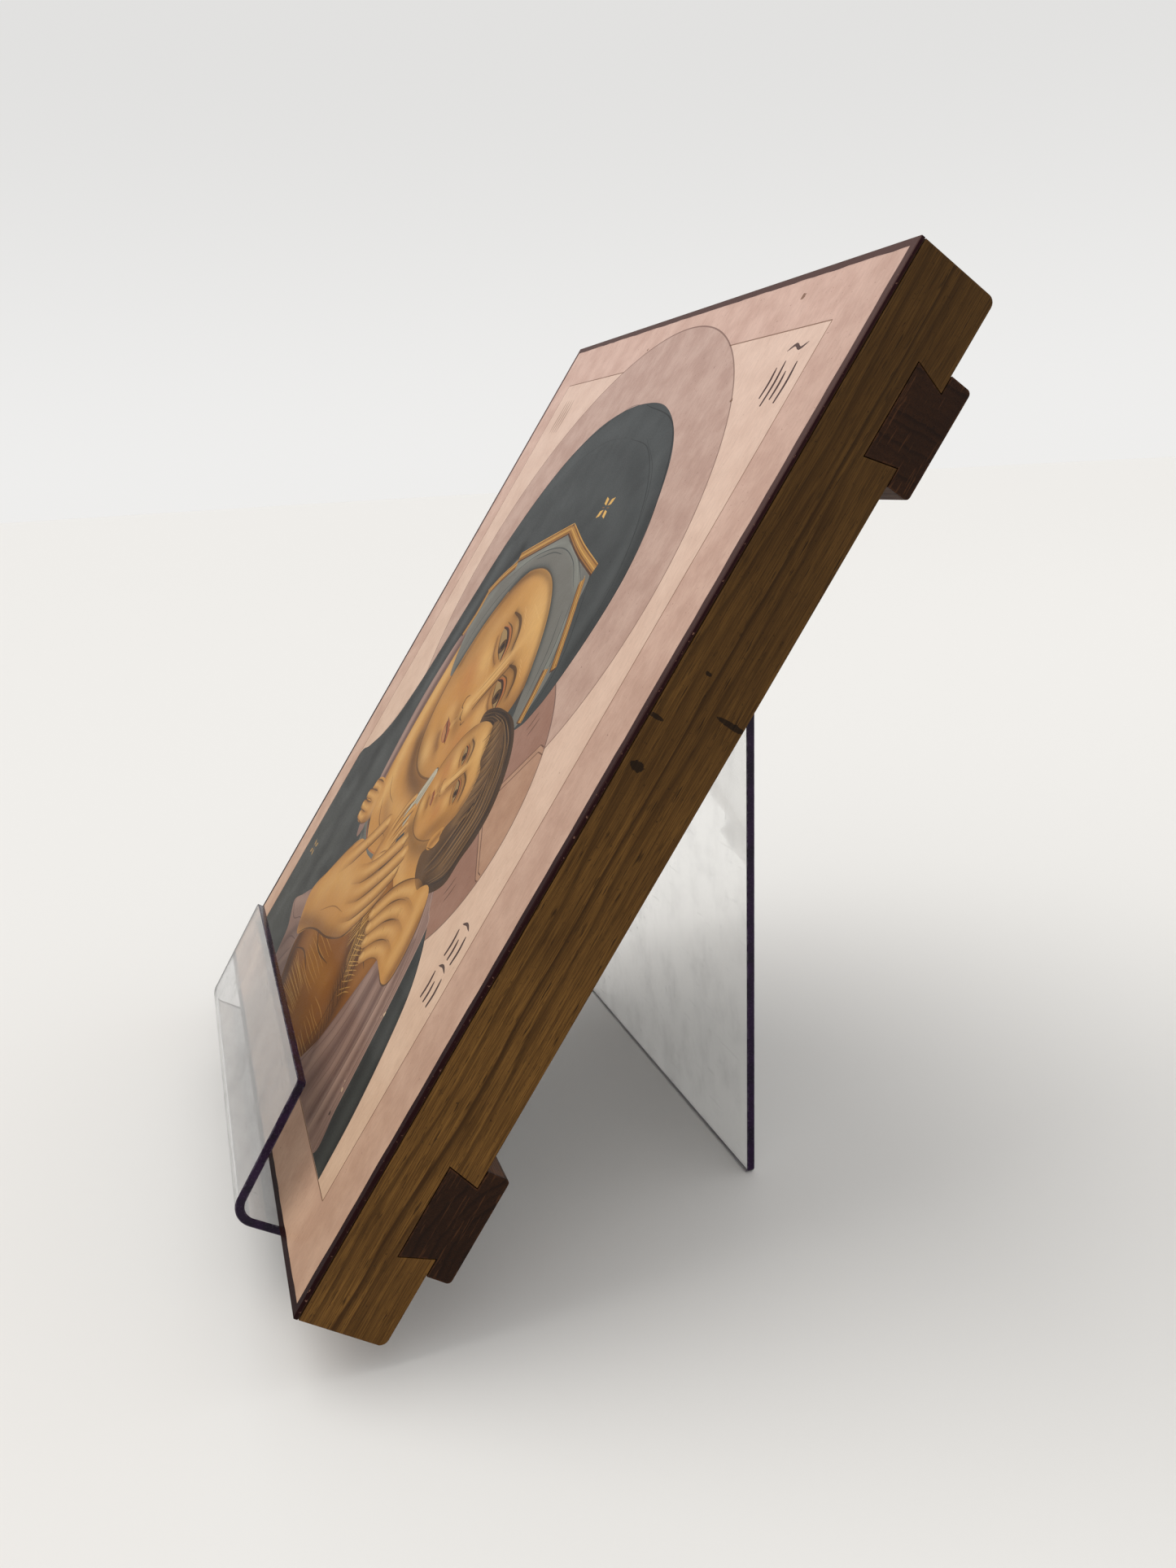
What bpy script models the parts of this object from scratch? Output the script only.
"""Painted icon on a battened wooden board that leans on a bent clear easel.

Two frames carry the pieces. The easel's frame has its origin where the top of the ledge meets the
front of the backrest, with Z up the backrest and Y towards the leg. The icon's frame has its origin
at the board's lower back edge, with Z up the board and Y out of its back.
"""

import math

import bmesh
import bpy
from mathutils import Matrix, Vector

# Icon, in metres
PANEL_WIDTH = 0.300
PANEL_HEIGHT = 0.350
BOARD_THICKNESS = 0.0282
GROUND_THICKNESS = 0.0015
GROUND_EDGE_ROUND = 0.0004
BOARD_END_ROUND = 0.0025

# Battens: a dovetail key in the board and a wider head on its back
BATTEN_MARGIN = 0.0425
KEY_NECK_WIDTH = 0.024
KEY_BASE_WIDTH = 0.030
KEY_DEPTH = 0.0110
HEAD_WIDTH = 0.036
HEAD_THICKNESS = 0.0080
HEAD_EDGE_ROUND = 0.0015

# Easel: one bent strip of sheet
SHEET_THICKNESS = 0.003
EASEL_WIDTH = 0.180
EASEL_OFFSET = 0.0095
LIP_HEIGHT = 0.048
FRONT_ROOM = 0.0125
LEDGE_BEND_RADIUS = 0.005
FOLD_RADIUS = 0.006
FOLD_BELOW_BATTEN = 0.052
LEG_LENGTH = 0.189
LEG_ANGLE = math.radians(31.1)
SHEET_CORNER_ROUND = 0.002

# Clearances
FIT_GAP = 0.0003
CUTTER_EXTRA = 0.005

# Fineness of the round stretches
CORNER_STEPS = 5
BEND_STEPS = 10
FOLD_STEPS = 18

# What follows from the sizes above
PANEL_THICKNESS = BOARD_THICKNESS + FIT_GAP + GROUND_THICKNESS
KEY_SLOPE = (KEY_BASE_WIDTH - KEY_NECK_WIDTH) / 2 / KEY_DEPTH
HEAD_PROUD = FIT_GAP + HEAD_THICKNESS
LOWER_HEAD_TOP = BATTEN_MARGIN + HEAD_WIDTH / 2
UPPER_HEAD_BOTTOM = PANEL_HEIGHT - LOWER_HEAD_TOP
FOLD_OUTER_RADIUS = FOLD_RADIUS + SHEET_THICKNESS
FOLD_HEIGHT = UPPER_HEAD_BOTTOM - FOLD_BELOW_BATTEN - FOLD_OUTER_RADIUS
FOLD_CENTRE_Y = SHEET_THICKNESS + FOLD_RADIUS

# An outline drawn in X and Y stands up as a side profile in Y and Z
SIDE_PROFILE = Matrix(((0, 0, 1, 0), (1, 0, 0, 0), (0, 1, 0, 0), (0, 0, 0, 1)))


def bisect(gap, low, high):
    """Angle between low and high where gap() turns from positive to negative."""
    for _ in range(60):
        middle = (low + high) / 2
        if gap(middle) > 0:
            low = middle
        else:
            high = middle
    return (low + high) / 2


def seat_back(lean):
    """Y of the board's back edge when the lower head's round top edge meets the backrest."""
    reach = (LOWER_HEAD_TOP - HEAD_EDGE_ROUND) * math.sin(lean)
    reach += (HEAD_PROUD - HEAD_EDGE_ROUND) * math.cos(lean) + HEAD_EDGE_ROUND
    return -(reach + FIT_GAP)


def seat_height(lean):
    """Z of the board's lower back edge when its round end meets the ledge."""
    return FIT_GAP - BOARD_END_ROUND * (math.sin(lean) + math.cos(lean) - 1)


def fold_gap(lean):
    """Distance of the board's back from the fold at the top of the backrest."""
    along = FOLD_HEIGHT - seat_height(lean)
    across = FOLD_CENTRE_Y - seat_back(lean)
    distance = across * math.cos(lean) - along * math.sin(lean)
    return distance - FOLD_OUTER_RADIUS - FIT_GAP


# The icon leans back a little more than the backrest, from the lower head to the fold
ICON_LEAN = bisect(fold_gap, 0, math.radians(30))
SEAT_BACK = seat_back(ICON_LEAN)
SEAT_HEIGHT = seat_height(ICON_LEAN)
LEDGE_DEPTH = FRONT_ROOM - SEAT_BACK + PANEL_THICKNESS * math.cos(ICON_LEAN)


def arc(centre, radius, start, end, steps):
    """Points on a circle from one angle to another, in radians from +Y towards +Z."""
    points = []
    for step in range(steps + 1):
        angle = start + (end - start) * step / steps
        points.append(centre + radius * Vector((math.cos(angle), math.sin(angle))))
    return points


def rounded_outline(corners):
    """Closed outline through (y, z, radius) corners, with an arc where the radius isn't zero."""
    outline = []
    for index, (y, z, radius) in enumerate(corners):
        corner = Vector((y, z))
        if radius == 0:
            outline.append(corner)
            continue
        before = (Vector(corners[index - 1][:2]) - corner).normalized()
        after = (Vector(corners[(index + 1) % len(corners)][:2]) - corner).normalized()
        half = before.angle(after) / 2
        centre = corner + (before + after).normalized() * radius / math.sin(half)
        first = corner + before * radius / math.tan(half) - centre
        last = corner + after * radius / math.tan(half) - centre
        turn = math.pi - 2 * half
        for step in range(CORNER_STEPS + 1):
            share = step / CORNER_STEPS
            spoke = first * math.sin((1 - share) * turn) + last * math.sin(share * turn)
            outline.append(centre + spoke / math.sin(turn))
    return outline


def clear_scene():
    for thing in list(bpy.data.objects):
        bpy.data.objects.remove(thing, do_unlink=True)


def new_collection(name):
    collection = bpy.data.collections.new(name)
    bpy.context.scene.collection.children.link(collection)
    return collection


def new_material(name, colour, roughness, metallic=0.0):
    material = bpy.data.materials.new(name)
    material.use_nodes = True
    shader = material.node_tree.nodes["Principled BSDF"]
    shader.inputs["Base Color"].default_value = (*colour, 1)
    shader.inputs["Roughness"].default_value = roughness
    shader.inputs["Metallic"].default_value = metallic
    return material


def new_object(name, mesh, collection, frame, material=None):
    piece = bpy.data.objects.new(name, mesh)
    collection.objects.link(piece)
    piece.parent = frame
    if material:
        mesh.materials.append(material)
    return piece


def new_frame(name, collection, parent=None):
    frame = bpy.data.objects.new(name, None)
    collection.objects.link(frame)
    frame.parent = parent
    return frame


def profile_mesh(name, outline, width):
    """Closed mesh of a side profile that runs the given width across X, centred on X = 0."""
    curve = bpy.data.curves.new(name + "_profile", "CURVE")
    curve.dimensions = "2D"
    curve.fill_mode = "BOTH"
    curve.extrude = width / 2
    spline = curve.splines.new("POLY")
    spline.points.add(len(outline) - 1)
    for point, (y, z) in zip(spline.points, outline):
        point.co = (y, z, 0, 1)
    spline.use_cyclic_u = True
    drawing = bpy.data.objects.new(name + "_profile", curve)
    bpy.context.scene.collection.objects.link(drawing)
    depsgraph = bpy.context.evaluated_depsgraph_get()
    mesh = bpy.data.meshes.new_from_object(drawing.evaluated_get(depsgraph))
    mesh.name = name
    bpy.data.objects.remove(drawing)
    bpy.data.curves.remove(curve)
    shape = bmesh.new()
    shape.from_mesh(mesh)
    bmesh.ops.remove_doubles(shape, verts=shape.verts, dist=0.00001)
    bmesh.ops.transform(shape, matrix=SIDE_PROFILE, verts=shape.verts)
    bmesh.ops.recalc_face_normals(shape, faces=shape.faces)
    shape.to_mesh(mesh)
    shape.free()
    return mesh


def key_outline(gap, overrun):
    """Dovetail key's section, grown by a gap and carried past the board's back by an overrun."""
    side = gap * math.hypot(1, KEY_SLOPE)
    base = KEY_BASE_WIDTH / 2 + side + gap * KEY_SLOPE
    neck = KEY_NECK_WIDTH / 2 + side - overrun * KEY_SLOPE
    base_y = -KEY_DEPTH - gap
    return [(base_y, -base), (overrun, -neck), (overrun, neck), (base_y, base)]


def batten_outline():
    """Section of a batten: the key inside the board, and the head with its outer edges eased."""
    key = [(y, z, 0) for y, z in key_outline(0, FIT_GAP)]
    half = HEAD_WIDTH / 2
    head = [
        (FIT_GAP, -half, 0),
        (HEAD_PROUD, -half, HEAD_EDGE_ROUND),
        (HEAD_PROUD, half, HEAD_EDGE_ROUND),
        (FIT_GAP, half, 0),
    ]
    return rounded_outline(key[:2] + head + key[2:])


def make_board(parts, cutters, frame):
    """Board with its lower back edge at the frame's origin and two dovetail grooves in its back."""
    outline = rounded_outline([
        (-BOARD_THICKNESS, 0, 0),
        (0, 0, BOARD_END_ROUND),
        (0, PANEL_HEIGHT, BOARD_END_ROUND),
        (-BOARD_THICKNESS, PANEL_HEIGHT, 0),
    ])
    wood = new_material("board_wood", (0.20, 0.12, 0.065), 0.6)
    board = new_object("board", profile_mesh("board", outline, PANEL_WIDTH), parts, frame, wood)
    groove_width = PANEL_WIDTH + 2 * CUTTER_EXTRA
    groove_outline = key_outline(FIT_GAP, CUTTER_EXTRA)
    for name, height in batten_places():
        mesh = profile_mesh(name + "_groove", groove_outline, groove_width)
        cutter = new_object(name + "_groove", mesh, cutters, frame)
        cutter.location = (0, 0, height)
        cutter.hide_render = True
        cutter.display_type = "WIRE"
        cut = board.modifiers.new(name + "_groove", "BOOLEAN")
        cut.operation = "DIFFERENCE"
        cut.solver = "EXACT"
        cut.object = cutter


def make_painted_ground(parts, frame):
    """Thin slab over the board's front, its edges eased."""
    slab = bmesh.new()
    bmesh.ops.create_cube(slab, size=1)
    size = Matrix.Diagonal((PANEL_WIDTH, GROUND_THICKNESS, PANEL_HEIGHT, 1))
    bmesh.ops.transform(slab, matrix=size, verts=slab.verts)
    mesh = bpy.data.meshes.new("painted_ground")
    slab.to_mesh(mesh)
    slab.free()
    paint = new_material("painted_ground", (0.62, 0.42, 0.33), 0.25)
    ground = new_object("painted_ground", mesh, parts, frame, paint)
    front = -BOARD_THICKNESS - FIT_GAP - GROUND_THICKNESS / 2
    ground.location = (0, front, PANEL_HEIGHT / 2)
    ease = ground.modifiers.new("eased_edges", "BEVEL")
    ease.width = GROUND_EDGE_ROUND
    ease.segments = 2


def batten_places():
    return [
        ("lower_batten", BATTEN_MARGIN),
        ("upper_batten", PANEL_HEIGHT - BATTEN_MARGIN),
    ]


def make_battens(parts, frame):
    wood = new_material("batten_wood", (0.13, 0.045, 0.025), 0.55)
    for name, height in batten_places():
        mesh = profile_mesh(name, batten_outline(), PANEL_WIDTH)
        batten = new_object(name, mesh, parts, frame, wood)
        batten.location = (0, 0, height)


def sheet_path():
    """Middle line of the bent sheet in Y and Z: lip, ledge, backrest, fold and leg."""
    half = SHEET_THICKNESS / 2
    bend = LEDGE_BEND_RADIUS
    lip_centre = Vector((bend - LEDGE_DEPTH, bend))
    back_centre = Vector((-bend, bend))
    fold_centre = Vector((FOLD_CENTRE_Y, FOLD_HEIGHT))
    down_leg = Vector((math.sin(LEG_ANGLE), -math.cos(LEG_ANGLE)))
    lip = [Vector((-LEDGE_DEPTH - half, LIP_HEIGHT))]
    lip_bend = arc(lip_centre, bend + half, math.pi, 1.5 * math.pi, BEND_STEPS)
    back_bend = arc(back_centre, bend + half, -0.5 * math.pi, 0, BEND_STEPS)
    fold = arc(fold_centre, FOLD_RADIUS + half, math.pi, LEG_ANGLE, FOLD_STEPS)
    foot = [fold[-1] + down_leg * LEG_LENGTH]
    return lip + lip_bend + back_bend + fold + foot


def rounded_ends(path):
    """Path points with the strip's half width at each, which draws in over both ends' corners."""
    half = EASEL_WIDTH / 2
    radius = SHEET_CORNER_ROUND
    rows = [(point, half) for point in path[1:-1]]
    for end, inner in ((path[0], path[1]), (path[-1], path[-2])):
        inward = (inner - end).normalized()
        corner = []
        for step in range(CORNER_STEPS + 1):
            angle = math.pi / 2 * step / CORNER_STEPS
            point = end + inward * radius * (1 - math.cos(angle))
            corner.append((point, half - radius * (1 - math.sin(angle))))
        if end is path[0]:
            rows = corner + rows
        else:
            rows = rows + corner[::-1]
    return rows


def make_easel(parts, frame):
    """Open strip along the sheet's middle line, thickened by Solidify."""
    strip = bmesh.new()
    last_pair = None
    for point, half in rounded_ends(sheet_path()):
        pair = [strip.verts.new((side * half, point.x, point.y)) for side in (-1, 1)]
        if last_pair:
            strip.faces.new((last_pair[0], last_pair[1], pair[1], pair[0]))
        last_pair = pair
    bmesh.ops.recalc_face_normals(strip, faces=strip.faces)
    mesh = bpy.data.meshes.new("easel")
    strip.to_mesh(mesh)
    strip.free()
    acrylic = new_material("clear_acrylic", (0.80, 0.80, 0.84), 0.1)
    easel = new_object("easel", mesh, parts, frame, acrylic)
    easel.location = (EASEL_OFFSET, 0, 0)
    sheet = easel.modifiers.new("sheet", "SOLIDIFY")
    sheet.thickness = SHEET_THICKNESS
    sheet.offset = 0
    sheet.use_even_offset = True


def floor_gap(recline):
    """How much higher the foot is than the rear bend of the ledge, at a given recline."""
    foot_middle = sheet_path()[-1]
    across_leg = Vector((math.cos(LEG_ANGLE), math.sin(LEG_ANGLE))) * SHEET_THICKNESS / 2
    heights = []
    for corner in (foot_middle - across_leg, foot_middle + across_leg):
        heights.append(corner.y * math.cos(recline) - corner.x * math.sin(recline))
    bend_centre = LEDGE_BEND_RADIUS * (math.cos(recline) + math.sin(recline))
    bend_bottom = bend_centre - LEDGE_BEND_RADIUS - SHEET_THICKNESS
    return min(heights) - bend_bottom


def world_corners(parts):
    """Lowest and highest corner of all the finished pieces in the collection."""
    bpy.context.view_layer.update()
    depsgraph = bpy.context.evaluated_depsgraph_get()
    points = []
    for piece in parts.objects:
        if piece.type == "MESH":
            shown = piece.evaluated_get(depsgraph)
            points += [shown.matrix_world @ vertex.co for vertex in shown.data.vertices]
    low = Vector([min(point[axis] for point in points) for axis in range(3)])
    high = Vector([max(point[axis] for point in points) for axis in range(3)])
    return low, high


def main():
    clear_scene()
    parts = new_collection("religious_icon")
    cutters = new_collection("cutters")
    easel_frame = new_frame("easel_frame", parts)
    icon_frame = new_frame("icon_frame", parts, easel_frame)
    easel_frame.rotation_euler.x = -bisect(floor_gap, 0, math.radians(80))
    icon_frame.location = (0, SEAT_BACK, SEAT_HEIGHT)
    icon_frame.rotation_euler.x = -ICON_LEAN
    make_easel(parts, easel_frame)
    make_board(parts, cutters, icon_frame)
    make_painted_ground(parts, icon_frame)
    make_battens(parts, icon_frame)
    low, high = world_corners(parts)
    middle = (low + high) / 2
    easel_frame.location = (-middle.x, -middle.y, -low.z)


main()
